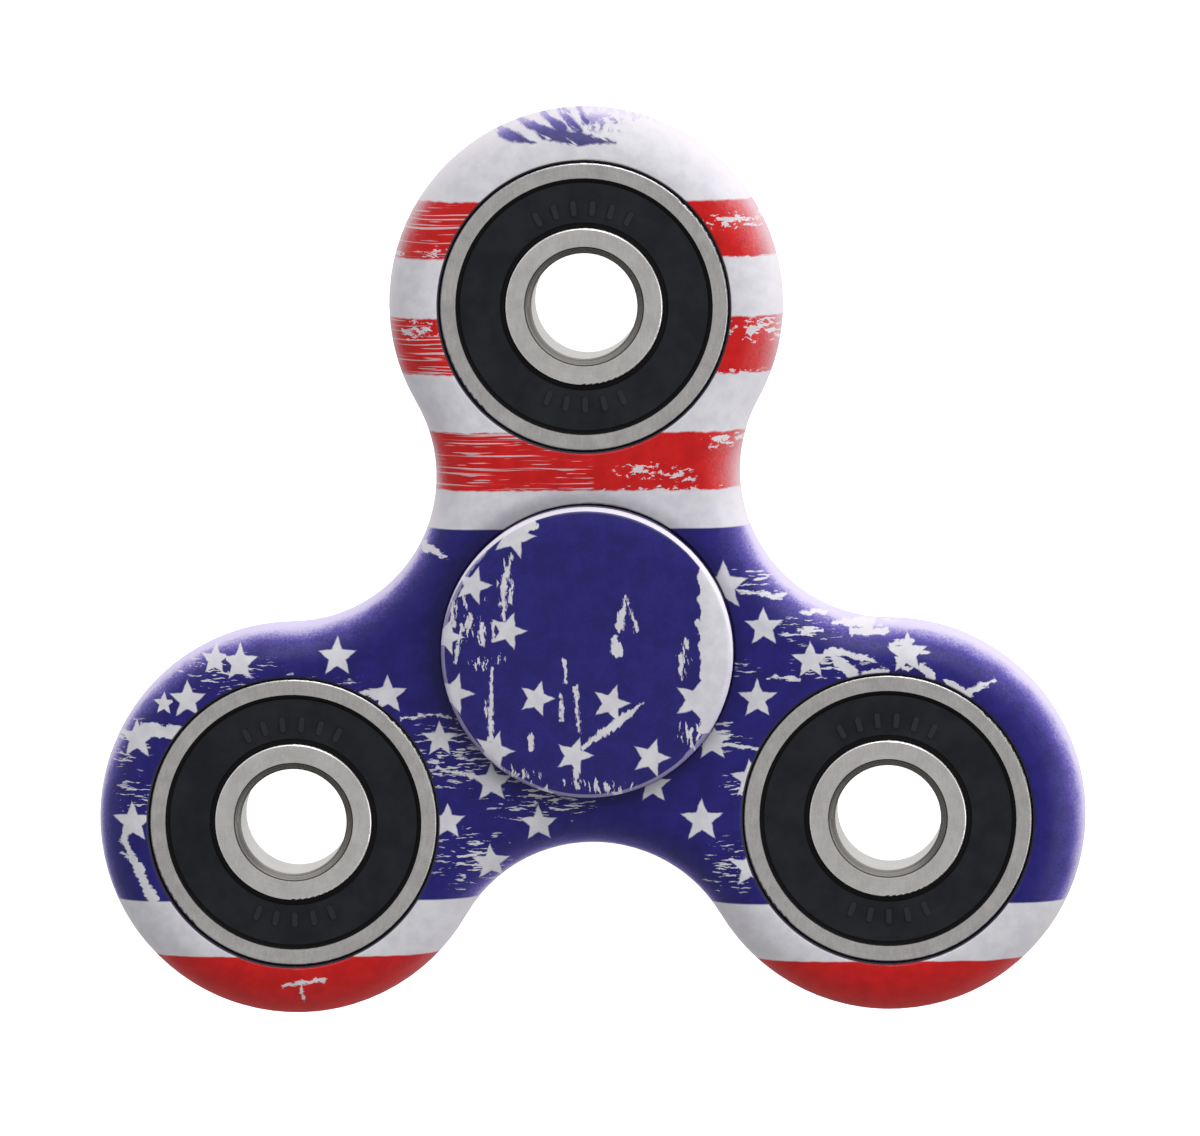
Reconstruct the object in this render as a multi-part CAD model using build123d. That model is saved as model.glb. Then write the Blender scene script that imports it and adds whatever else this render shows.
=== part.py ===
from build123d import *

import os
from math import acos, cos, degrees, radians, sin

# A three-lobed fidget spinner. Four 608 ball bearings are pressed into a moulded body, one on the
# spin axis and one in each lobe. Two finger caps press into the bore of the centre bearing.
# Millimetres. +Z is the spin axis, +Y points at the top lobe, and the origin is the middle of the
# centre bearing. Every section is drawn as (radius, height) and turned about +Z.

# ---- Ball bearing, size 608 with rubber seals ----
BEARING_OD = 22.0
BEARING_BORE = 8.0
BEARING_WIDTH = 7.0
BALL_DIAMETER = 3.969
BALL_COUNT = 7
BALL_PLAY = 0.012  # gap between a ball and the bottom of each raceway
OUTER_CONFORMITY = 0.525  # raceway radius as a share of the ball's diameter
INNER_CONFORMITY = 0.515
OUTER_LAND_R = 9.0  # shoulders beside the raceways
INNER_LAND_R = 6.0
OUTER_CORNER = 0.3  # rounding of the outer race's outside corners
BORE_CHAMFER = 0.55
INNER_CORNER = 0.15  # rounding of the inner race's shoulder

# ---- Seal and the recesses that hold it ----
SEAL_MOUTH_R = 9.72  # opening in the outer race's end face
SEAL_GROOVE_R = 10.0  # groove that the seal's bead snaps into
SEAL_GROOVE_LOW = 2.6
SEAL_GROOVE_HIGH = 3.0
SEAL_TOP = 3.25  # outside of the seal's web
SEAL_BOTTOM = 2.72
SEAL_STEP = 0.22  # the rim and the lip lie this much below the web
SEAL_STEP_WIDTH = 0.35
SEAL_GAP = 0.08  # running gap between the lip and the inner race
LIP_GROOVE_R = 5.7
LIP_GROOVE_LOW = 2.55
LIP_GROOVE_HIGH = 2.95
INNER_END_R = 5.95

# ---- Raised index marks on each seal ----
MARK_R = 7.45  # middle of the row of marks
MARK_LENGTH = 1.15
MARK_WIDTH = 0.42
MARK_HEIGHT = 0.12
MARK_PITCH = 11.0  # degrees between marks
TOP_MARKS = 6
BOTTOM_MARKS = 5

# ---- Riveted ribbon cage ----
CAGE_INNER_R = 6.55
CAGE_OUTER_R = 8.45
CAGE_SHEET = 0.28
POCKET_CLEARANCE = 0.08
RIVET_R = 0.3
RIVET_HEAD_R = 0.52
RIVET_HEAD = 0.18

# ---- Body ----
ARM = 26.0  # spin axis to each lobe's bearing
LOBE_R = 14.9
WAIST_R = 15.0  # spin axis to the closest point of the outline, between two lobes
BODY_THICKNESS = 7.6
EDGE_ROUND = 3.4
SEAT_RIM = 0.25  # rounding where each bearing seat meets the body's faces

# ---- Finger caps ----
CAP_R = 11.05
CAP_TOP = 6.1  # outside face, from the middle of the bearing
CAP_UNDER = 4.1
CAP_CROWN_R = 6.0  # gentle arc from the flat face towards the rim
CAP_CROWN_ANGLE = 16.0
CAP_RIM_R = 0.6
CAP_UNDER_CHAMFER = 0.3
SHOULDER_R = 5.6  # boss that sits on the inner race and keeps the cap off the seal
STEM_END = 0.25  # each stem stops this far short of the bearing's middle
STEM_LEAD = 0.4
SOCKET_R = 2.0
SOCKET_DEPTH = 4.4
PIN_R = 1.98
PIN_TIP = 3.4
PIN_LEAD = 0.3

BALL_R = BALL_DIAMETER / 2
PITCH_R = (BEARING_OD + BEARING_BORE) / 4
HALF_WIDTH = BEARING_WIDTH / 2
BALL_STEP = 360 / BALL_COUNT
LOBE_ANGLES = {"top": 90.0, "left": 210.0, "right": 330.0}


def band(r_low, r_high, z_low, z_high):
    """A rectangle in a section, between two radii and two heights."""
    middle = Pos((r_low + r_high) / 2, (z_low + z_high) / 2)
    return middle * Rectangle(r_high - r_low, z_high - z_low)


def turned(section):
    """The solid that a section makes when it is turned about the spin axis."""
    return revolve(Plane.XZ * section, Axis.Z)


def polar(radius, angle, z=0.0):
    """A location at a radius and an angle in degrees about the spin axis."""
    return Pos(radius * cos(radians(angle)), radius * sin(radians(angle)), z)


def flipped(solid):
    """The solid turned over, so that its +Z side faces -Z."""
    return solid.rotate(Axis.Y, 180)


# ---- Bearing pieces, each about its own centre ----


def outer_race():
    section = band(OUTER_LAND_R, BEARING_OD / 2, -HALF_WIDTH, HALF_WIDTH)
    section = fillet(section.vertices().group_by(Axis.X)[-1], OUTER_CORNER)
    raceway_r = OUTER_CONFORMITY * BALL_DIAMETER
    raceway_bottom = PITCH_R + BALL_R + BALL_PLAY
    section -= Pos(raceway_bottom - raceway_r, 0) * Circle(raceway_r)
    for side in (1, -1):
        section -= Pos(0, side * HALF_WIDTH) * Rectangle(
            2 * SEAL_MOUTH_R, 2 * (HALF_WIDTH - SEAL_GROOVE_LOW)
        )
        groove_middle = side * (SEAL_GROOVE_LOW + SEAL_GROOVE_HIGH) / 2
        section -= Pos(0, groove_middle) * Rectangle(
            2 * SEAL_GROOVE_R, SEAL_GROOVE_HIGH - SEAL_GROOVE_LOW
        )
    return turned(section)


def inner_race():
    section = band(BEARING_BORE / 2, INNER_LAND_R, -HALF_WIDTH, HALF_WIDTH)
    section = chamfer(section.vertices().group_by(Axis.X)[0], BORE_CHAMFER)
    raceway_r = INNER_CONFORMITY * BALL_DIAMETER
    raceway_bottom = PITCH_R - BALL_R - BALL_PLAY
    section -= Pos(raceway_bottom + raceway_r, 0) * Circle(raceway_r)
    for side in (1, -1):
        low, high = sorted((side * LIP_GROOVE_LOW, side * LIP_GROOVE_HIGH))
        section -= band(LIP_GROOVE_R, INNER_LAND_R + 1, low, high)
        low, high = sorted((side * LIP_GROOVE_HIGH, side * HALF_WIDTH))
        section -= band(INNER_END_R, INNER_LAND_R + 1, low, high)
    end_corners = [
        corner
        for corner in section.vertices()
        if abs(corner.X - INNER_END_R) < 1e-4 and abs(abs(corner.Y) - HALF_WIDTH) < 1e-4
    ]
    section = fillet(end_corners, INNER_CORNER)
    return turned(section)


def seal():
    """The front seal: a bead in the outer race's groove, a web, and a lip beside the inner race."""
    web = band(INNER_LAND_R, SEAL_MOUTH_R, SEAL_BOTTOM, SEAL_TOP)
    bead = band(SEAL_MOUTH_R - SEAL_STEP_WIDTH, SEAL_GROOVE_R, SEAL_GROOVE_LOW, SEAL_GROOVE_HIGH)
    lip_low = LIP_GROOVE_LOW + SEAL_GAP
    lip = band(LIP_GROOVE_R + SEAL_GAP, INNER_LAND_R + SEAL_STEP_WIDTH, lip_low, LIP_GROOVE_HIGH - SEAL_GAP)
    section = web + bead + lip
    step_low = SEAL_TOP - SEAL_STEP
    section -= band(SEAL_MOUTH_R - SEAL_STEP_WIDTH, SEAL_MOUTH_R, step_low, SEAL_TOP)
    section -= band(INNER_LAND_R, INNER_LAND_R + SEAL_STEP_WIDTH, step_low, SEAL_TOP)
    section -= band(INNER_LAND_R - 1, INNER_END_R + SEAL_GAP, LIP_GROOVE_HIGH - SEAL_GAP, SEAL_TOP)
    solid = turned(section)
    for middle, count in ((90.0, TOP_MARKS), (270.0, BOTTOM_MARKS)):
        for i in range(count):
            angle = middle + (i - (count - 1) / 2) * MARK_PITCH
            outline = Rot(0, 0, angle) * SlotOverall(MARK_LENGTH, MARK_WIDTH)
            mark = extrude(outline, MARK_HEIGHT + SEAL_STEP)
            solid += polar(MARK_R, angle, SEAL_TOP - SEAL_STEP) * mark
    return solid


def ball_places(offset=0.0):
    return [polar(PITCH_R, i * BALL_STEP + offset) for i in range(BALL_COUNT)]


def ball():
    """A bearing ball, with its poles on the spin direction."""
    return Sphere(BALL_R)


def cage_half():
    """The front half of the ribbon cage: pockets over the balls, flats between them."""
    pocket_r = BALL_R + POCKET_CLEARANCE
    ribbon = turned(band(CAGE_INNER_R, CAGE_OUTER_R, 0, CAGE_SHEET))
    for place in ball_places():
        ribbon += place * Sphere(pocket_r + CAGE_SHEET)
    ribbon &= turned(band(CAGE_INNER_R, CAGE_OUTER_R, 0, PITCH_R))
    for place in ball_places():
        ribbon -= place * Sphere(pocket_r)
    for place in ball_places(BALL_STEP / 2):
        ribbon -= place * Cylinder(RIVET_R, 4 * CAGE_SHEET)
    return ribbon


def rivets():
    """The rivets that hold the two cage halves together, as separate solids."""
    shank = Cylinder(RIVET_R, 2 * CAGE_SHEET)
    head = Cylinder(RIVET_HEAD_R, RIVET_HEAD)
    lift = CAGE_SHEET + RIVET_HEAD / 2
    rivet = shank + Pos(0, 0, lift) * head + Pos(0, 0, -lift) * head
    return Compound(children=[place * rivet for place in ball_places(BALL_STEP / 2)])


# ---- Body ----


def body_outline():
    """The three-lobed outline: a circle round each lobe, joined by concave arcs tangent to both.

    A concave arc's centre lies midway between two lobes, WAIST_R + r from the spin axis and
    LOBE_R + r from both lobe centres, which settles its radius r."""
    r = (ARM**2 + WAIST_R**2 - ARM * WAIST_R - LOBE_R**2) / (2 * LOBE_R + ARM - 2 * WAIST_R)
    reach = WAIST_R + r
    side = LOBE_R + r
    inner_angle = degrees(acos((ARM**2 + side**2 - reach**2) / (2 * ARM * side)))
    lobe_half = 180 - inner_angle
    waist_half = 120 - inner_angle
    edges = []
    for angle in LOBE_ANGLES.values():
        lobe = polar(ARM, angle).position
        edges.append(CenterArc(lobe, LOBE_R, angle - lobe_half, 2 * lobe_half))
        hollow = polar(reach, angle + 60).position
        edges.append(CenterArc(hollow, r, angle + 240 - waist_half, 2 * waist_half))
    return make_face(Wire(edges))


def spinner_body():
    outline = body_outline()
    slab = extrude(outline, BODY_THICKNESS / 2, both=True)
    rims = slab.edges().filter_by(lambda e: abs(abs(e.center().Z) - BODY_THICKNESS / 2) < 1e-3)
    body = fillet(rims, EDGE_ROUND)
    for place in bearing_places().values():
        body -= place * Cylinder(BEARING_OD / 2, 2 * BODY_THICKNESS)
    seat_edges = [
        e
        for e in body.edges().filter_by(GeomType.CIRCLE)
        if abs(e.radius - BEARING_OD / 2) < 1e-4 and abs(abs(e.center().Z) - BODY_THICKNESS / 2) < 1e-3
    ]
    return fillet(seat_edges, SEAT_RIM)


def bearing_places():
    """Where each bearing's centre is, by name."""
    places = {"centre": Pos(0, 0, 0)}
    for name, angle in LOBE_ANGLES.items():
        places[name] = polar(ARM, angle)
    return places


# ---- Finger caps ----


def cap_shell():
    """A cap's disc with its crowned rim, the shoulder under it, and the stem that fills the bore."""
    turn = radians(CAP_CROWN_ANGLE)
    rim_start_r = CAP_R - CAP_RIM_R * (1 - sin(turn))
    flat_r = rim_start_r - CAP_CROWN_R * sin(turn)
    crown = JernArc((flat_r, CAP_TOP), (1, 0), CAP_CROWN_R, -CAP_CROWN_ANGLE)
    rim = JernArc(crown @ 1, crown % 1, CAP_RIM_R, -(90 - CAP_CROWN_ANGLE))
    stem_r = BEARING_BORE / 2
    rest = Polyline(
        rim @ 1,
        (CAP_R, CAP_UNDER + CAP_UNDER_CHAMFER),
        (CAP_R - CAP_UNDER_CHAMFER, CAP_UNDER),
        (SHOULDER_R, CAP_UNDER),
        (SHOULDER_R, HALF_WIDTH),
        (stem_r, HALF_WIDTH),
        (stem_r, STEM_END + STEM_LEAD),
        (stem_r - STEM_LEAD, STEM_END),
        (0, STEM_END),
        (0, CAP_TOP),
        (flat_r, CAP_TOP),
    )
    return turned(make_face(Wire([crown, rim] + rest.edges())))


def front_cap():
    """The front cap, with the socket that takes the back cap's pin."""
    socket = Pos(0, 0, STEM_END + SOCKET_DEPTH / 2) * Cylinder(SOCKET_R, SOCKET_DEPTH)
    return cap_shell() - socket


def back_cap():
    """The back cap, with a pin that reaches into the front cap's socket."""
    height = PIN_TIP + STEM_END
    pin = Cylinder(PIN_R, height)
    pin = chamfer(pin.edges().group_by(Axis.Z)[-1], PIN_LEAD)
    return flipped(cap_shell()) + Pos(0, 0, height / 2 - STEM_END) * pin


# ---- Assembly ----


def bearing_pieces():
    """Every piece of one bearing by name, about the bearing's own centre."""
    front_seal = seal()
    front_half = cage_half()
    pieces = {
        "outer_race": outer_race(),
        "inner_race": inner_race(),
        "front_seal": front_seal,
        "back_seal": flipped(front_seal),
        "cage_front": front_half,
        "cage_back": front_half.mirror(Plane.XY),
        "cage_rivets": rivets(),
    }
    for number, place in enumerate(ball_places(), start=1):
        pieces[f"ball_{number}"] = place * ball()
    return pieces


def main():
    nodes = {"spinner_body": spinner_body(), "front_cap": front_cap(), "back_cap": back_cap()}
    pieces = bearing_pieces()
    for where, place in bearing_places().items():
        for piece, solid in pieces.items():
            nodes[f"{where}_{piece}"] = place * solid
    os.makedirs("parts", exist_ok=True)
    for name, solid in nodes.items():
        export_step(solid, f"parts/{name}.step")


main()
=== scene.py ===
from math import cos, pi, radians, sin

import bpy
from mathutils import Matrix, Vector


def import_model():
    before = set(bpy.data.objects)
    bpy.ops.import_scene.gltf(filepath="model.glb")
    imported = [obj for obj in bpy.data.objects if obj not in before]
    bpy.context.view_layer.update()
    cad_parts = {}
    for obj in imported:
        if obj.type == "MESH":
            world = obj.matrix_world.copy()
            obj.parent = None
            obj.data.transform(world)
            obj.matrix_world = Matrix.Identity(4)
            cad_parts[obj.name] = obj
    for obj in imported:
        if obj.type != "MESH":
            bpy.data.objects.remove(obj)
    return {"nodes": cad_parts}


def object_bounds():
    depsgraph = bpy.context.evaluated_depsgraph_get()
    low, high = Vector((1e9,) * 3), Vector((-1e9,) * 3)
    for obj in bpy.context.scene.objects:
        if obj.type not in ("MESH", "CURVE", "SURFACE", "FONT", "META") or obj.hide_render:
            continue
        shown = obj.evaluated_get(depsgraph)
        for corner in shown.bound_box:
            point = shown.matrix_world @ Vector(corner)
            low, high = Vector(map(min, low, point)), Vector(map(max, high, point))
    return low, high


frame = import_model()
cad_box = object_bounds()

MM = 0.001
ARM = 26.0  # spin axis to each lobe's bearing, in millimetres
LOBE_ANGLES = {"top": 90.0, "left": 210.0, "right": 330.0}
BEARINGS = {"centre": (0.0, 0.0)}
for lobe, angle in LOBE_ANGLES.items():
    BEARINGS[lobe] = (ARM * cos(radians(angle)), ARM * sin(radians(angle)))

# Inks, as linear light: each is mottled between two shades
WHITE_INK = ((0.58, 0.57, 0.62), (0.65, 0.645, 0.685))
BLUE_INK = ((0.011, 0.008, 0.125), (0.016, 0.012, 0.165))
RED_INK = ((0.475, 0.005, 0.006), (0.56, 0.008, 0.008))
# Painted shade colour, for the seats round the bearings and the shadow round the cap
PAINTED_SHADE = (0.010, 0.008, 0.020)
# Painted highlight for the caps' rim
RIM_HIGHLIGHT = (0.80, 0.77, 0.84)
# What the print fades to round the body's edges: partly thin print and partly painted sheen, paler
# than the white ink
PALE_SIDE_AND_SHEEN = (0.72, 0.67, 0.73)
BLUE_SIDE_AND_SHEEN = ((0.24, 0.18, 0.70), (0.68, 0.61, 0.87))


# ---- Shader arithmetic ----


class Field:
    """A number that varies over a surface. Arithmetic on fields adds nodes to the material."""

    def __init__(self, tree, socket):
        self.tree = tree
        self.socket = socket

    def __add__(self, other):
        return maths("ADD", self, other)

    def __radd__(self, other):
        return maths("ADD", other, self)

    def __sub__(self, other):
        return maths("SUBTRACT", self, other)

    def __rsub__(self, other):
        return maths("SUBTRACT", other, self)

    def __mul__(self, other):
        return maths("MULTIPLY", self, other)

    def __rmul__(self, other):
        return maths("MULTIPLY", other, self)

    def __truediv__(self, other):
        return maths("DIVIDE", self, other)

    def __neg__(self):
        return maths("MULTIPLY", self, -1.0)

    def __abs__(self):
        return maths("ABSOLUTE", self)


def put(tree, socket, value):
    """Gives a node's input a constant, or links a field to it."""
    if isinstance(value, Field):
        tree.links.new(value.socket, socket)
    else:
        socket.default_value = value


def tree_of(values):
    return next(v.tree for v in values if isinstance(v, Field))


def maths(operation, *values):
    tree = tree_of(values)
    node = tree.nodes.new("ShaderNodeMath")
    node.operation = operation
    for socket, value in zip(node.inputs, values):
        put(tree, socket, value)
    return Field(tree, node.outputs[0])


def vector_maths(operation, *values):
    tree = tree_of(values)
    node = tree.nodes.new("ShaderNodeVectorMath")
    node.operation = operation
    for socket, value in zip(node.inputs, values):
        put(tree, socket, value)
    output = "Value" if operation in ("LENGTH", "DOT_PRODUCT", "DISTANCE") else "Vector"
    return Field(tree, node.outputs[output])


def least(*values):
    total = values[0]
    for value in values[1:]:
        total = maths("MINIMUM", total, value)
    return total


def most(*values):
    total = values[0]
    for value in values[1:]:
        total = maths("MAXIMUM", total, value)
    return total


def ramp(value, low, high):
    """0 below low, 1 above high, and a smooth step between them."""
    tree = value.tree
    node = tree.nodes.new("ShaderNodeMapRange")
    node.interpolation_type = "SMOOTHSTEP"
    put(tree, node.inputs["Value"], value)
    put(tree, node.inputs["From Min"], low)
    put(tree, node.inputs["From Max"], high)
    return Field(tree, node.outputs[0])


def between(value, low, high, soft=0.05):
    """1 where value lies between low and high."""
    return ramp(value, low - soft, low + soft) * (1.0 - ramp(value, high - soft, high + soft))


def mix_colour(amount, first, second):
    tree = tree_of((amount, first, second))
    node = tree.nodes.new("ShaderNodeMix")
    node.data_type = "RGBA"
    put(tree, node.inputs[0], amount)
    for socket, value in ((node.inputs[6], first), (node.inputs[7], second)):
        put(tree, socket, value if isinstance(value, Field) else (*value, 1.0))
    return Field(tree, node.outputs[2])


def mix_vector(amount, first, second):
    tree = tree_of((amount, first, second))
    node = tree.nodes.new("ShaderNodeMix")
    node.data_type = "VECTOR"
    put(tree, node.inputs[0], amount)
    put(tree, node.inputs[4], first)
    put(tree, node.inputs[5], second)
    return Field(tree, node.outputs[1])


def noise(point, scale, detail=3.0, roughness=0.55, flat=False):
    """Fractal noise from 0 to 1."""
    tree = point.tree
    node = tree.nodes.new("ShaderNodeTexNoise")
    node.noise_dimensions = "2D" if flat else "3D"
    put(tree, node.inputs["Vector"], point)
    node.inputs["Scale"].default_value = scale
    node.inputs["Detail"].default_value = detail
    node.inputs["Roughness"].default_value = roughness
    return Field(tree, node.outputs[0])


def wobble(point, scale, amount, detail=2.0):
    """The point pushed about in X and Y by noise, so that shapes drawn with it get uneven edges."""
    tree = point.tree
    node = tree.nodes.new("ShaderNodeTexNoise")
    node.noise_dimensions = "2D"
    put(tree, node.inputs["Vector"], point)
    node.inputs["Scale"].default_value = scale
    node.inputs["Detail"].default_value = detail
    push = vector_maths("SUBTRACT", Field(tree, node.outputs["Color"]), (0.5, 0.5, 0.5))
    return vector_maths("MULTIPLY_ADD", push, (amount, amount, 0.0), point)


def split(point):
    tree = point.tree
    node = tree.nodes.new("ShaderNodeSeparateXYZ")
    put(tree, node.inputs[0], point)
    return [Field(tree, socket) for socket in node.outputs]


def join(x, y, z=0.0):
    tree = tree_of((x, y, z))
    node = tree.nodes.new("ShaderNodeCombineXYZ")
    for socket, value in zip(node.inputs, (x, y, z)):
        put(tree, socket, value)
    return Field(tree, node.outputs[0])


def place_in_mm(tree):
    """Where a point of the surface is on its own part, in millimetres."""
    node = tree.nodes.new("ShaderNodeTexCoord")
    return vector_maths("SCALE", Field(tree, node.outputs["Object"]), (0, 0, 0), (0, 0, 0), 1 / MM)


def facing(tree):
    """How far the surface faces along the spin axis, either way, and which way it faces in X and Y."""
    node = tree.nodes.new("ShaderNodeTexCoord")
    x, y, z = split(Field(tree, node.outputs["Normal"]))
    slope = most(vector_maths("LENGTH", join(x, y)), 0.05)
    return abs(z), x / slope, y / slope


def distance_to(point, places):
    """How far the point is from the nearest of these places."""
    nearest = None
    for x, y in places:
        distance = vector_maths("DISTANCE", point, (x, y, 0.0))
        nearest = distance if nearest is None else least(nearest, distance)
    return nearest


def bump(tree, height, distance, strength=1.0):
    """A normal from a height field. The distance is in millimetres."""
    node = tree.nodes.new("ShaderNodeBump")
    node.inputs["Strength"].default_value = strength
    node.inputs["Distance"].default_value = distance * MM
    put(tree, node.inputs["Height"], height)
    return Field(tree, node.outputs[0])


def material(name, finish):
    """A new material whose finish function fills in its Principled shader."""
    made = bpy.data.materials.new(name)
    made.use_nodes = True
    tree = made.node_tree
    shader = next(n for n in tree.nodes if n.type == "BSDF_PRINCIPLED")
    for socket, value in finish(tree).items():
        put(tree, shader.inputs[socket], (*value, 1.0) if isinstance(value, tuple) else value)
    return made


# ---- Shapes in a print, drawn in millimetres ----


STAR_SLANT = radians(67.4)  # from a star's point to the square of its straight edge
STAR_WAIST = 0.384  # how far the straight edges pass from the star's middle, against its radius


def star_field(point, stars):
    """1 inside five-pointed stars, each (x, y, radius). Only the nearest star to a point is drawn."""
    offset = nearest = None
    for x, y, radius in stars:
        inverse = (1 / radius, 1 / radius, 0.0)
        scaled = vector_maths("MULTIPLY_ADD", point, inverse, (-x / radius, -y / radius, 0.0))
        distance = vector_maths("LENGTH", scaled)
        if offset is None:
            offset, nearest = scaled, distance
            continue
        offset = mix_vector(maths("LESS_THAN", distance, nearest), offset, scaled)
        nearest = least(distance, nearest)
    x, y, _ = split(offset)
    fifth = maths("PINGPONG", maths("ARCTAN2", x, y), pi / 5)
    reach = nearest * maths("COSINE", fifth - STAR_SLANT)
    return 1.0 - ramp(reach, STAR_WAIST - 0.04, STAR_WAIST + 0.04)


def strokes(point, lines, soft=0.06, torn=0.0):
    """1 inside tapered strokes, each ((x, y), (x, y), half width at its start, at its end).

    Torn is a field, in millimetres, that widens or thins them from place to place.
    """
    edge = None
    for (x0, y0), (x1, y1), start, end in lines:
        along = (x1 - x0, y1 - y0, 0.0)
        length_squared = along[0] ** 2 + along[1] ** 2
        offset = vector_maths("SUBTRACT", point, (x0, y0, 0.0))
        share = vector_maths("DOT_PRODUCT", offset, tuple(a / length_squared for a in along))
        share = least(most(share, 0.0), 1.0)
        foot = vector_maths("SCALE", along, (0, 0, 0), (0, 0, 0), share)
        width = share * (end - start) + start
        inside = width - vector_maths("DISTANCE", offset, foot)
        edge = inside if edge is None else most(edge, inside)
    return ramp(edge + torn, -soft, soft)


def tearing(point, fine_x, fine_y):
    """Uneven widths for strokes, in millimetres, finer across one axis than the other."""
    stretched = vector_maths("MULTIPLY", point, (fine_x, fine_y, 0.0))
    return (noise(stretched, 1.0, 3.0, 0.65, flat=True) - 0.5) * 0.5


def blobs(point, places):
    """1 at the middle of each ellipse (x, y, half width, half height), falling to 0 at its rim."""
    total = None
    for x, y, wide, high in places:
        inverse = (1 / wide, 1 / high, 0.0)
        offset = vector_maths("MULTIPLY_ADD", point, inverse, (-x / wide, -y / high, 0.0))
        height = 1.0 - vector_maths("LENGTH", offset)
        total = height if total is None else most(total, height)
    return most(total, 0.0)


# ---- The body's print ----

CANTON_TOP = 9.2
RED_STRIPES = ((29.7, 34.0), (20.9, 25.2), (12.1, 16.5))
LOW_WHITE = -18.95  # where the blue ends on the left lobe
LOW_RED = -23.2
RIGHT_DROP = 0.5  # the low stripes start this much lower on the right lobe
STREAKS_END = 0.5  # the red has fine streaks to the left of this
SEAT_EDGE = 11.08  # the body's edge round each bearing gets painted shade inside this radius
CAP_EDGE = 11.05
SHADE_MIDDLE = (-0.35, 0.25)  # the shade round the cap is a little off to the top left
BODY_STARS = (
    (-26.4, -0.8, 1.45),
    (-28.3, -0.6, 1.15),
    (-32.2, -3.9, 0.85),
    (-19.0, -0.4, 1.5),
    (-30.4, -3.6, 1.45),
    (-15.2, -3.3, 1.5),
    (-34.3, -6.6, 1.5),
    (-11.3, -6.7, 1.4),
    (-7.4, -10.0, 1.55),
    (-34.7, -12.9, 1.6),
    (-10.8, -13.0, 1.4),
    (-3.9, -13.2, 1.45),
    (-7.6, -16.2, 1.45),
    (10.3, 4.8, 1.9),
    (13.3, 1.65, 1.5),
    (16.8, -0.9, 1.45),
    (12.75, -3.8, 1.5),
    (9.3, -7.0, 1.5),
    (12.1, -9.9, 1.5),
    (4.8, -10.3, 1.4),
    (8.45, -13.0, 1.65),
    (12.1, -16.6, 1.6),
    (24.1, -0.45, 1.55),
)
BODY_STROKES = (
    ((-12.3, 7.8), (-10.6, 7.1), 0.35, 0.08),
    ((-33.6, -5.8), (-30.2, -6.2), 0.55, 0.42),
    ((-35.4, -14.2), (-34.3, -16.6), 0.3, 0.25),
    ((-34.3, -16.6), (-33.2, -18.8), 0.3, 0.35),
    ((-35.6, -15.2), (-33.9, -16.4), 0.08, 0.15),
    ((-11.6, -8.9), (-8.0, -9.7), 0.12, 0.16),
    ((-14.2, -5.0), (-10.6, -4.9), 0.12, 0.08),
    ((-17.6, -3.2), (-15.6, -3.3), 0.1, 0.4),
    ((11.2, 4.4), (14.8, 3.9), 0.08, 0.2),
    ((18.2, -0.4), (20.0, -1.9), 0.3, 0.45),
    ((18.4, -0.2), (21.6, -0.9), 0.25, 0.12),
    ((22.8, 0.2), (24.4, 0.45), 0.14, 0.22),
    ((23.4, -0.9), (24.2, -1.5), 0.25, 0.2),
    ((24.9, -0.2), (25.7, -0.5), 0.2, 0.1),
    ((25.3, -1.5), (25.8, -2.1), 0.32, 0.38),
    ((27.0, -2.5), (28.6, -3.5), 0.15, 0.4),
    ((28.6, -3.3), (30.7, -2.6), 0.3, 0.05),
    ((9.9, -7.3), (13.2, -7.6), 0.12, 0.14),
    ((18.6, 1.9), (21.2, 1.7), 0.14, 0.40),
    ((20.0, 1.2), (22.6, 1.2), 0.26, 0.18),
    ((19.2, 2.6), (21.8, 2.3), 0.08, 0.16),
    ((20.8, -2.0), (22.4, -1.7), 0.15, 0.25),
    ((16.3, 1.2), (17.7, 1.35), 0.22, 0.12),
    ((16.2, 2.7), (17.8, 2.6), 0.16, 0.2),
    ((13.6, -2.2), (15.8, -2.3), 0.06, 0.2),
)
RED_SCRATCHES = (
    ((-23.5, -25.45), (-20.3, -25.0), 0.12, 0.16),
    ((-22.1, -25.4), (-21.9, -26.6), 0.14, 0.05),
)
# Where the blue print is worn: horizontal scratches and flakes
WORN_BLUE = (
    (-27.5, -1.4, 5.0, 2.0),
    (-20.5, -2.4, 4.6, 1.2),
    (-33.5, -10.8, 3.2, 2.2),
    (-35.2, -6.8, 2.6, 2.4),
    (-9.5, -7.8, 5.8, 3.6),
    (-3.5, -11.2, 5.6, 2.4),
    (-9.0, -15.8, 3.6, 3.2),
    (12.2, 5.3, 3.2, 1.0),
    (11.4, -1.5, 2.0, 0.9),
    (16.4, 1.4, 3.6, 1.4),
    (9.6, -6.6, 3.0, 1.6),
    (21.4, 1.9, 2.6, 0.8),
    (19.0, -1.4, 4.6, 1.2),
    (10.4, -16.6, 2.4, 2.8),
    (11.5, -10.4, 2.0, 1.4),
    (-1.5, -12.0, 3.6, 0.8),
)
# Where the red print has flaked, on the right
FLAKED_RED = (
    (11.6, 32.4, 3.8, 0.8),
    (15.2, 33.0, 2.0, 0.9),
    (13.4, 24.3, 3.2, 1.3),
    (10.4, 15.8, 2.4, 1.0),
    (4.4, 13.6, 2.6, 0.8),
    (7.0, 13.2, 1.6, 0.9),
    (6.4, 12.1, 6.5, 0.45),
    (11.0, 29.6, 4.5, 0.4),
    (11.5, 20.9, 3.6, 0.4),
    (-12.6, 24.2, 1.8, 1.1),
    (-11.2, 30.2, 1.6, 0.6),
    (-14.0, 30.0, 1.0, 0.5),
)
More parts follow.
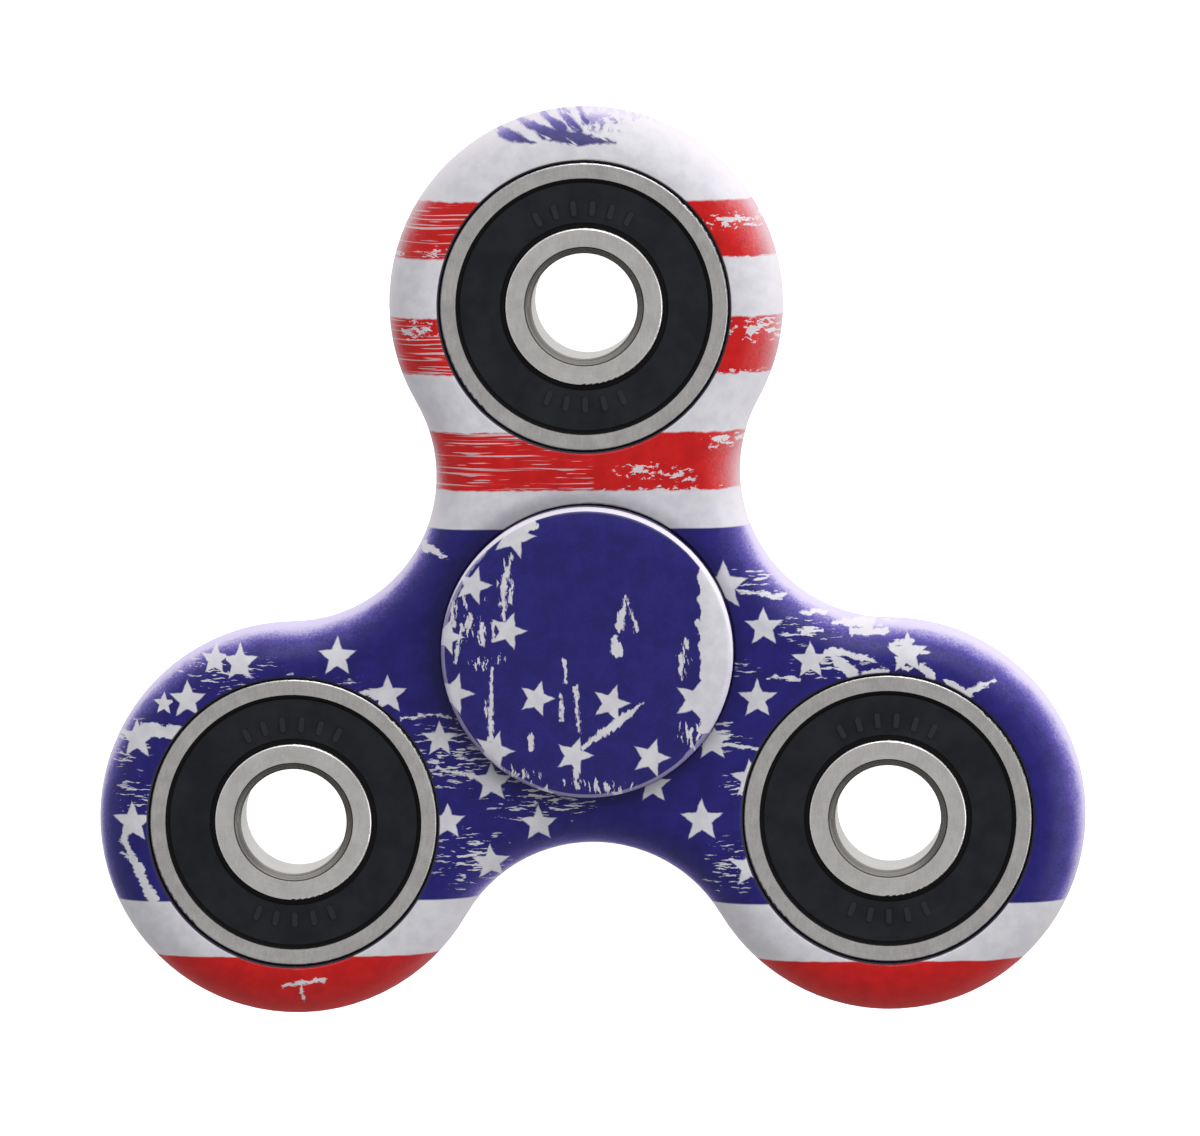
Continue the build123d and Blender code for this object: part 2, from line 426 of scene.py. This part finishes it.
# Blue brush marks across the top of the top lobe
SPLASH_STROKES = (
    ((-6.9, 39.6), (-5.4, 38.9), 0.28, 0.42),
    ((-5.4, 38.9), (-3.5, 38.4), 0.42, 0.08),
    ((-5.5, 40.4), (-2.6, 39.1), 0.14, 0.42),
    ((-2.7, 39.1), (-0.4, 38.7), 0.46, 0.5),
    ((-0.4, 38.75), (2.5, 38.4), 0.5, 0.06),
    ((-3.4, 41.0), (-1.5, 39.4), 0.20, 0.40),
    ((-2.0, 41.2), (-0.2, 39.2), 0.34, 0.30),
    ((-1.0, 41.7), (0.4, 39.9), 0.12, 0.22),
)
SPATTER = ((1.2, 40.3, 2.9, 1.9), (4.2, 40.6, 3.4, 1.1), (-4.6, 41.0, 2.6, 0.6))


def body_print(tree):
    """White, red and blue ink on the body, the same seen from the front and the back, with painted
    sheen round the edges and painted shade by the cap and the bearings.
    """
    place = place_in_mm(tree)
    x, y, _ = split(place)
    flat = join(x, y)
    right = ramp(x, -1.0, 1.0)

    rough_y = split(wobble(flat, 1.1, 0.3, 3.0))[1]
    red = between(rough_y, *RED_STRIPES[0], 0.1)
    for low, high in RED_STRIPES[1:]:
        red = red + between(rough_y, low, high, 0.1)
    low_y = split(wobble(flat, 0.6, 0.15))[1] + right * (RIGHT_DROP + 0.15)
    low_red = 1.0 - ramp(low_y, LOW_RED - 0.06, LOW_RED + 0.06)
    drop = right * RIGHT_DROP * (1.0 - ramp(y, -8.0, 0.0))
    blue = between(y + drop, LOW_WHITE, CANTON_TOP, 0.07)

    # Long fine streaks in the red to the left, and small flakes to the right
    long_place = vector_maths("MULTIPLY", wobble(flat, 0.2, 0.3, 1.0), (0.07, 4.6, 0.0))
    long_lines = ramp(noise(long_place, 1.0, 1.0, 0.5, flat=True), 0.62, 0.69)
    short_place = vector_maths("MULTIPLY", flat, (0.3, 5.5, 0.0))
    short_lines = ramp(noise(short_place, 1.0, 2.0, 0.5, flat=True), 0.65, 0.71)
    streaks = most(long_lines * 0.7, short_lines * 0.6)
    chip_place = vector_maths("MULTIPLY", wobble(flat, 2.6, 0.4), (1.15, 2.9, 0.0))
    chips = noise(chip_place, 1.0, 4.0, 0.64, flat=True)
    flake_zone = blobs(flat, FLAKED_RED)
    flakes = ramp(chips + flake_zone * 0.24, 0.66, 0.69) * ramp(flake_zone, 0.02, 0.2)
    on_left = 1.0 - ramp(x, STREAKS_END - 0.2, STREAKS_END + 0.2)
    torn = tearing(flat, 1.6, 4.0)
    red = red * (1.0 - most(streaks * on_left, flakes * 0.92))
    low_red = low_red * (1.0 - strokes(wobble(flat, 1.6, 0.35), RED_SCRATCHES, 0.06, torn))

    # Stars, strokes and scratches through the blue
    fine_place = vector_maths("MULTIPLY", wobble(flat, 1.6, 0.2), (0.64, 4.2, 0.0))
    fine = noise(fine_place, 1.0, 3.0, 0.6, flat=True)
    zone = blobs(flat, WORN_BLUE)
    scratched = ramp(fine + zone * 0.16, 0.67, 0.71) * ramp(zone, 0.02, 0.2)
    marks = strokes(wobble(flat, 1.2, 0.6, 3.0), BODY_STROKES, 0.06, torn)
    stars = star_field(wobble(flat, 1.3, 0.22, 3.0), BODY_STARS)
    white_marks = most(stars, marks, scratched * (0.55 + zone * 0.6))
    blue = blue * (1.0 - white_marks)

    # The brush marks at the top, split by slanting bristle lines
    bristle_place = join(x * 0.3 - y * 0.17, x * 1.0 + y * 1.75)
    bristle = noise(bristle_place, 1.0, 3.0, 0.6, flat=True)
    splash = strokes(wobble(flat, 1.5, 0.5, 3.0), SPLASH_STROKES, 0.12) * ramp(bristle, 0.30, 0.40)
    speckle = noise(flat, 1.9, 4.0, 0.68, flat=True)
    spatter = ramp(speckle + blobs(flat, SPATTER) * 0.28, 0.64, 0.74) * ramp(y, 38.9, 39.6)
    blue = most(blue, splash * 0.95, spatter * 0.7)

    # Each ink is slightly mottled
    mottle = ramp(noise(place, 0.9, 4.0, 0.6), 0.33, 0.67)
    white = mix_colour(mottle, *WHITE_INK)
    red_ink = mix_colour(mottle, *RED_INK)
    blue_ink = mix_colour(mottle, *BLUE_INK)
    red = most(red, low_red)
    colour = mix_colour(red, white, red_ink)
    colour = mix_colour(blue, colour, blue_ink)

    # The print fades round the edges, partly thin print and partly a painted sheen, most where they
    # face the top lobe and the right, where the light falls
    up, to_right, to_top = facing(tree)
    ragged = noise(vector_maths("MULTIPLY", place, (0.5, 0.5, 1.2)), 1.0, 3.0, 0.6)
    spray = noise(place, 5.5, 2.0, 0.6)
    level = up + (ragged - 0.5) * 0.22 + (spray - 0.5) * 0.28
    full_ink = least(0.88 + to_right * 0.13 + most(to_top, -0.3) * 0.12, 1.0)
    faded_and_sheen = 1.0 - ramp(level, 0.14 + to_top * 0.18, full_ink)
    faded_and_sheen = faded_and_sheen * (1.0 - red * (0.3 - least(to_top, 0.0) * 0.7)) * (1.0 - splash * 0.3)
    bearing = distance_to(flat, BEARINGS.values())
    faded_and_sheen = faded_and_sheen * ramp(bearing, SEAT_EDGE + 0.2, SEAT_EDGE + 0.4)
    blue_side_and_sheen = mix_colour(ramp(faded_and_sheen, 0.25, 1.0), *BLUE_SIDE_AND_SHEEN)
    colour = mix_colour(faded_and_sheen * 0.9, colour, mix_colour(blue, PALE_SIDE_AND_SHEEN, blue_side_and_sheen))

    # Painted shadow round the cap, darkest against it
    painted_shadow_by_cap = 1.0 - ramp(distance_to(flat, (SHADE_MIDDLE,)), CAP_EDGE, CAP_EDGE + 1.4)
    colour = mix_colour(painted_shadow_by_cap * 0.36, colour, PAINTED_SHADE)
    # Painted shade in the seat round each bearing, for the gap between body and race
    painted_seat_shade = 1.0 - ramp(bearing, SEAT_EDGE, SEAT_EDGE + 0.1)
    return mix_colour(painted_seat_shade, colour, PAINTED_SHADE), place


def body_finish(tree):
    colour, place = body_print(tree)
    grain = noise(place, 9.0, 3.0, 0.6)
    orange_peel = noise(place, 0.8, 2.0, 0.5)
    up, _, to_top = facing(tree)
    underside = (1.0 - up) * ramp(-to_top, 0.0, 1.0)
    return {
        "Base Color": colour,
        "Roughness": 0.38 + (grain - 0.5) * 0.12 + underside * 0.4,
        "Normal": bump(tree, grain * 0.35 + orange_peel, 0.03, 0.35),
        "Specular IOR Level": 0.3,
    }


# ---- The caps' print: the same film laid a quarter turn round ----

CAP_STARS = (
    (-5.9, 1.75, 1.45),
    (-8.5, 5.2, 1.45),
    (-10.6, 1.3, 1.4),
    (-10.1, -3.0, 1.6),
    (-3.8, -3.4, 1.4),
    (1.8, -3.8, 1.45),
    (-7.1, -7.4, 1.6),
    (-1.05, -7.75, 1.45),
    (4.75, -7.95, 1.5),
    (8.2, -3.6, 1.7),
    (-5.4, 8.9, 1.7),
    (-3.3, -10.6, 0.7),
    (2.3, -10.9, 0.7),
)
CAP_STROKES = (
    ((-5.5, 7.6), (-6.2, 5.4), 0.08, 0.20),
    ((-6.2, 5.4), (-6.2, 2.6), 0.20, 0.10),
    ((-5.6, 5.6), (-5.7, 3.8), 0.12, 0.05),
    ((-7.2, -1.1), (-7.25, -4.6), 0.06, 0.18),
    ((-7.3, -4.9), (-7.3, -6.6), 0.13, 0.18),
    ((-1.65, -0.5), (-1.6, -2.2), 0.15, 0.09),
    ((-1.95, -3.1), (-1.95, -5.1), 0.12, 0.09),
    ((-0.85, -2.6), (-0.6, -6.0), 0.15, 0.08),
    ((-0.9, -7.7), (-0.85, -10.1), 0.2, 0.14),
    ((-0.3, -7.1), (2.2, -5.3), 0.16, 0.34),
    ((2.2, -5.3), (4.2, -3.8), 0.34, 0.08),
    ((3.05, 4.4), (2.5, 2.0), 0.03, 0.34),
    ((3.05, 4.3), (3.8, 1.7), 0.03, 0.14),
    ((2.2, 1.2), (2.3, 0.1), 0.2, 0.44),
    ((7.15, -0.3), (7.1, -2.0), 0.2, 0.08),
    ((7.5, 1.1), (7.5, 0.4), 0.08, 0.16),
    ((-7.9, 2.3), (-7.8, 0.8), 0.18, 0.22),
    ((-9.4, 2.3), (-9.9, -0.6), 0.10, 0.13),
    ((-7.0, 2.4), (-7.0, 1.0), 0.12, 0.07),
    ((-10.1, 3.8), (-10.0, 2.1), 0.05, 0.13),
    ((-4.6, 9.6), (-4.0, 9.7), 0.5, 0.4),
    ((8.9, 1.9), (8.5, 2.2), 0.55, 0.3),
    ((8.4, -3.4), (9.2, -2.4), 0.5, 0.5),
    ((7.8, -5.9), (7.75, -7.2), 0.12, 0.08),
    ((-4.3, -6.3), (-4.3, -7.2), 0.22, 0.16),
)
WORN_CAP = (
    (-8.9, 2.4, 1.9, 3.2),
    (-6.0, 4.8, 0.8, 2.8),
    (-7.6, -0.5, 2.2, 0.9),
    (-7.4, -4.2, 0.5, 2.2),
    (1.0, -10.1, 5.5, 0.8),
    (7.8, -6.4, 1.5, 1.6),
    (7.3, -0.6, 0.8, 2.0),
    (-5.4, -9.4, 2.2, 1.2),
)
BARE_EDGE = 8.55  # right of this, and above BARE_LOW, the cap's print is missing
BARE_LOW = -7.0
RIM_FACING = 0.90  # the rim's rounding faces the spin axis less than this
HIGHLIGHT_SIDE_FACING = 0.6
SHADED_WALL_FACING = 0.22


def cap_finish(tree):
    place = place_in_mm(tree)
    x, y, _ = split(place)
    flat = join(x, y)
    quarter_turn = join(-y, x)  # the stars' points face the cap's right
    turned_stars = tuple((-star_y, star_x, radius) for star_x, star_y, radius in CAP_STARS)
    stars = star_field(wobble(quarter_turn, 1.4, 0.2, 3.0), turned_stars)
    torn = tearing(flat, 4.0, 1.6)
    marks = strokes(wobble(flat, 1.5, 0.4, 3.0), CAP_STROKES, 0.06, torn)
    fine_place = vector_maths("MULTIPLY", wobble(flat, 1.4, 0.4), (2.5, 0.6, 0.0))
    fine = noise(fine_place, 1.0, 4.0, 0.62, flat=True)
    zone = blobs(flat, WORN_CAP)
    scratched = ramp(fine + zone * 0.17, 0.67, 0.71) * ramp(zone, 0.02, 0.2)
    ragged_x = split(wobble(flat, 0.8, 0.9, 4.0))[0]
    bare = ramp(ragged_x, BARE_EDGE - 0.06, BARE_EDGE + 0.06)
    bare = bare * ramp(y - x * 0.1, BARE_LOW - 0.1, BARE_LOW)
    mottle = ramp(noise(place, 0.9, 4.0, 0.6), 0.33, 0.67)
    white = mix_colour(mottle, *WHITE_INK)
    blue_ink = mix_colour(mottle, *BLUE_INK)
    colour = mix_colour(most(stars, marks, scratched, bare), blue_ink, white)

    # The rim gets a painted highlight, near white, where it faces the top lobe and the right, and
    # elsewhere is thinly printed with a little painted sheen
    up, to_right, to_top = facing(tree)
    uneven = up + (noise(place, 1.5, 3.0, 0.6) - 0.5) * 0.03
    rim = 1.0 - ramp(uneven, RIM_FACING - 0.05, RIM_FACING)
    top_share = ramp(to_top + to_right * 0.3, -0.1, 0.75)
    highlight_from = HIGHLIGHT_SIDE_FACING + top_share * (RIM_FACING - HIGHLIGHT_SIDE_FACING)
    rim_highlight = 1.0 - ramp(uneven, highlight_from - 0.06, highlight_from)
    rim_highlight = rim_highlight * ramp(to_top + to_right * 0.35, -0.3, 0.35)
    colour = mix_colour(rim * 0.35, colour, BLUE_SIDE_AND_SHEEN[1])
    colour = mix_colour(rim_highlight * 0.9, colour, RIM_HIGHLIGHT)
    # Painted shade: the cap's side wall, where it faces the spin axis little, is painted in dark blue
    # ink
    colour = mix_colour(ramp(up, SHADED_WALL_FACING - 0.1, SHADED_WALL_FACING + 0.1), BLUE_INK[0], colour)
    grain = noise(place, 9.0, 3.0, 0.6)
    return {
        "Base Color": colour,
        "Roughness": 0.26 + (grain - 0.5) * 0.1,
        "Normal": bump(tree, grain, 0.01, 0.3),
        "Specular IOR Level": 0.35,
        "Coat Weight": 0.2,
        "Coat Roughness": 0.15,
    }


# ---- Bearing steel and rubber ----


def around(place, centre):
    """(distance, angle) of a point about a bearing's axis, in millimetres and radians."""
    x, y, _ = split(vector_maths("SUBTRACT", place, (*centre, 0.0)))
    distance = vector_maths("LENGTH", join(x, y))
    return distance, maths("ARCTAN2", y, x)


OUTER_STEEL = ((0.69, 0.67, 0.67), (0.865, 0.845, 0.845))
INNER_STEEL = ((0.85, 0.83, 0.82), (0.99, 0.975, 0.965))
SHADED_CORNER_START = 10.86  # the outer race's rounded corner is painted near black from here out, painted shade for its gap against the body; the bore's chamfers are left unground
BORE_CHAMFER = 0.55
BORE_CHAMFER_END = 4.0 + BORE_CHAMFER
CHAMFER_LOW = 3.5 - BORE_CHAMFER


def race_finish(centre, shades):
    """Ground bearing steel with a satin grain, unground dark bore chamfers edged with painted shade,
    painted shade on the outer corner and a duller bore.
    """

    def finish(tree):
        place = place_in_mm(tree)
        distance, angle = around(place, centre)
        _, _, z = split(place)
        height = abs(z)
        rings = noise(join(distance * 9.0, angle * 0.9, z * 9.0), 1.0, 3.0, 0.7)
        brushed = noise(vector_maths("MULTIPLY", place, (4.5, 1.4, 4.5)), 1.0, 3.0, 0.6)
        cloud = noise(place, 0.55, 3.0, 0.6)
        grit = noise(place, 8.0, 3.0, 0.7)
        pits = ramp(grit, 0.70, 0.76)
        shade = rings * 0.2 + brushed * 0.3 + cloud * 0.25 + grit * 0.25
        colour = mix_colour(ramp(shade, 0.38, 0.62), *shades)
        colour = mix_colour(pits * 0.5, colour, (0.22, 0.21, 0.2))
        bore = 1.0 - ramp(distance, 4.02, 4.1)
        colour = mix_colour(bore, colour, (0.52, 0.51, 0.49))
        chamfer = ramp(height, CHAMFER_LOW - 0.03, CHAMFER_LOW + 0.03)
        chamfer = chamfer * (1.0 - ramp(distance, BORE_CHAMFER_END - 0.05, BORE_CHAMFER_END + 0.02))
        turning = noise(join(distance * 14.0, angle * 0.3, z * 14.0), 1.0, 2.0, 0.5)
        unground = mix_colour(ramp(turning, 0.35, 0.65), (0.20, 0.19, 0.18), (0.36, 0.345, 0.33))
        colour = mix_colour(chamfer, colour, unground)
        # Painted shade: near black lines along both edges of the bore's chamfer
        for middle in (CHAMFER_LOW - 0.05, CHAMFER_LOW + BORE_CHAMFER - 0.07):
            painted_edge_shade = between(height, middle - 0.05, middle + 0.05, 0.02)
            painted_edge_shade = painted_edge_shade * (1.0 - ramp(distance, BORE_CHAMFER_END - 0.05, BORE_CHAMFER_END + 0.02))
            colour = mix_colour(painted_edge_shade * 0.85, colour, (0.05, 0.045, 0.04))
        # Painted shade: the outer race's rounded corner is painted near black, for the shadowed gap
        # against the body
        corner = ramp(distance, SHADED_CORNER_START - 0.03, SHADED_CORNER_START + 0.05)
        colour = mix_colour(corner, colour, (0.06, 0.056, 0.06))
        return {
            "Base Color": colour,
            "Metallic": 1.0,
            "Roughness": 0.30 + (cloud - 0.5) * 0.2 + (grit - 0.5) * 0.16 + corner * 0.25,
            "Normal": bump(tree, rings * 0.4 + grit * 0.6, 0.006, 0.6),
        }

    return finish


SEAL_LIP_END = 6.36
SEAL_RIM_START = 9.36
MARK_LEVEL = 3.29


def seal_finish(centre):
    """Moulded nitrile rubber, satin black, with a fine grain and dusty patches."""

    def finish(tree):
        place = place_in_mm(tree)
        distance, angle = around(place, centre)
        _, _, z = split(place)
        grain = noise(place, 5.0, 4.0, 0.65)
        haze = noise(place, 0.45, 3.0, 0.6)
        rings = noise(join(distance * 3.0, angle * 0.4, 0.0), 1.0, 2.0, 0.5)
        colour = mix_colour(ramp(haze, 0.3, 0.7), (0.0085, 0.0095, 0.0125), (0.0145, 0.0155, 0.020))
        web = ramp(distance, SEAL_LIP_END - 0.05, SEAL_LIP_END + 0.05)
        web = web * (1.0 - ramp(distance, SEAL_RIM_START - 0.05, SEAL_RIM_START + 0.05))
        colour = mix_colour(web, (0.0025, 0.0025, 0.0035), colour)
        # The raised marks are painted a little lighter, a painted highlight on their tops
        marks = ramp(abs(z), MARK_LEVEL - 0.02, MARK_LEVEL + 0.02)
        colour = mix_colour(marks, colour, (0.021, 0.022, 0.027))
        return {
            "Base Color": colour,
            "Roughness": 0.46 + (grain - 0.5) * 0.2 + (haze - 0.5) * 0.1,
            "Specular IOR Level": 0.2,
            "Normal": bump(tree, grain + rings * 0.5, 0.012, 0.4),
        }

    return finish


def ball_finish(tree):
    place = place_in_mm(tree)
    haze = noise(place, 1.4, 3.0, 0.6)
    return {
        "Base Color": mix_colour(haze, (0.60, 0.60, 0.61), (0.68, 0.68, 0.68)),
        "Metallic": 1.0,
        "Roughness": 0.07 + haze * 0.05,
    }


def cage_finish(tree):
    place = place_in_mm(tree)
    grain = noise(place, 4.0, 4.0, 0.6)
    return {
        "Base Color": mix_colour(grain, (0.40, 0.39, 0.37), (0.52, 0.51, 0.49)),
        "Metallic": 1.0,
        "Roughness": 0.36 + (grain - 0.5) * 0.2,
        "Normal": bump(tree, grain, 0.01, 0.4),
    }


def paint(node, made):
    """Gives every slot of a CAD node this material."""
    slots = frame["nodes"][node].material_slots
    for slot in slots:
        slot.material = made


def paint_everything():
    paint("spinner_body", material("printed_body", body_finish))
    cap = material("printed_cap", cap_finish)
    paint("front_cap", cap)
    paint("back_cap", cap)
    ball = material("ball_steel", ball_finish)
    cage = material("cage_steel", cage_finish)
    for name, centre in BEARINGS.items():
        outer = material(f"{name}_outer_race_steel", race_finish(centre, OUTER_STEEL))
        inner = material(f"{name}_inner_race_steel", race_finish(centre, INNER_STEEL))
        seal = material(f"{name}_seal_rubber", seal_finish(centre))
        for node in frame["nodes"]:
            if not node.startswith(name):
                continue
            if "ball" in node:
                paint(node, ball)
            elif "cage" in node:
                paint(node, cage)
            elif "seal" in node:
                paint(node, seal)
            else:
                paint(node, outer if "outer" in node else inner)


# ---- Studio ----

FLOOR_SIZE = 90.0  # reaches the horizon of a low view
FLOOR_GAP = 0.03 * MM  # keeps the floor clear of the back cap's face
CAMERA_DISTANCE = 1.1
VIEW_WIDTH = 0.0906  # what the picture spans across, at the bearings' faces
CAMERA_TILT = 6.0  # degrees from the spin axis towards the top lobe
CAMERA_YAW = 2.75  # degrees from the spin axis to the right
CAMERA_ROLL = 0.7
LOOK_AT = (0.97, 6.2, 3.5)


def floor():
    low = cad_box[0].z - FLOOR_GAP
    half = FLOOR_SIZE / 2
    mesh = bpy.data.meshes.new("floor")
    corners = [(-half, -half, low), (half, -half, low), (half, half, low), (-half, half, low)]
    mesh.from_pydata(corners, [], [(0, 1, 2, 3)])
    piece = bpy.data.objects.new("floor", mesh)
    bpy.context.scene.collection.objects.link(piece)

    def finish(tree):
        return {
            "Base Color": (0.8, 0.8, 0.8),
            "Roughness": 0.9,
            "Specular IOR Level": 0.1,
            "Emission Color": (1.0, 1.0, 1.0),
            "Emission Strength": 1.0,
        }

    mesh.materials.append(material("floor_white", finish))
    piece.visible_glossy = False  # the white sweep is only a background
    piece.visible_diffuse = False


def light(name, place, size, power, mirrored=True):
    lamp = bpy.data.lights.new(name, "AREA")
    lamp.shape = "RECTANGLE"
    lamp.size, lamp.size_y = size
    lamp.energy = power
    made = bpy.data.objects.new(name, lamp)
    made.location = place
    made.rotation_euler = (-Vector(place)).to_track_quat("-Z", "Y").to_euler()
    made.visible_glossy = mirrored
    bpy.context.scene.collection.objects.link(made)


def world():
    """A pale room: brightest behind the top lobe and to the right, and grey overhead."""
    made = bpy.data.worlds.new("studio")
    bpy.context.scene.world = made
    made.use_nodes = True
    tree = made.node_tree
    background = next(n for n in tree.nodes if n.type == "BACKGROUND")
    coordinates = tree.nodes.new("ShaderNodeTexCoord")
    x, y, z = split(Field(tree, coordinates.outputs["Generated"]))
    horizon = mix_colour(ramp(y + x * 0.2, -1.0, 1.0), (0.55, 0.55, 0.55), (1.3, 1.3, 1.3))
    overhead = mix_colour(ramp(z, 0.1, 0.95), horizon, (0.40, 0.395, 0.39))
    put(tree, background.inputs["Color"], overhead)
    background.inputs["Strength"].default_value = 0.95


def camera():
    tilt, yaw = radians(CAMERA_TILT), radians(CAMERA_YAW)
    back = Vector((sin(yaw), sin(tilt), 1.0))
    back.z = (1 - back.x**2 - back.y**2) ** 0.5
    target = Vector(LOOK_AT) * MM
    side = Vector((0, 1, 0)).cross(back).normalized()
    up = back.cross(side)
    turn = Matrix((side, up, back)).transposed()
    data = bpy.data.cameras.new("camera")
    data.sensor_width = 36.0
    data.lens = data.sensor_width * CAMERA_DISTANCE / VIEW_WIDTH
    data.clip_start = 0.05
    data.clip_end = 100.0
    made = bpy.data.objects.new("camera", data)
    made.matrix_world = Matrix.Translation(target + back * CAMERA_DISTANCE) @ (
        turn @ Matrix.Rotation(-radians(CAMERA_ROLL), 3, "Z")
    ).to_4x4()
    bpy.context.scene.collection.objects.link(made)
    bpy.context.scene.camera = made


def studio():
    floor()
    light("key", (0.15, 0.9, 0.9), (0.9, 0.7), 5.0)
    light("fill", (0.9, -0.2, 0.7), (0.7, 0.7), 2.0)
    light("corner", (0.10, 0.08, 0.075), (0.06, 0.06), 0.05, mirrored=False)
    world()
    camera()
    bpy.context.scene.view_settings.view_transform = "Standard"


paint_everything()
studio()
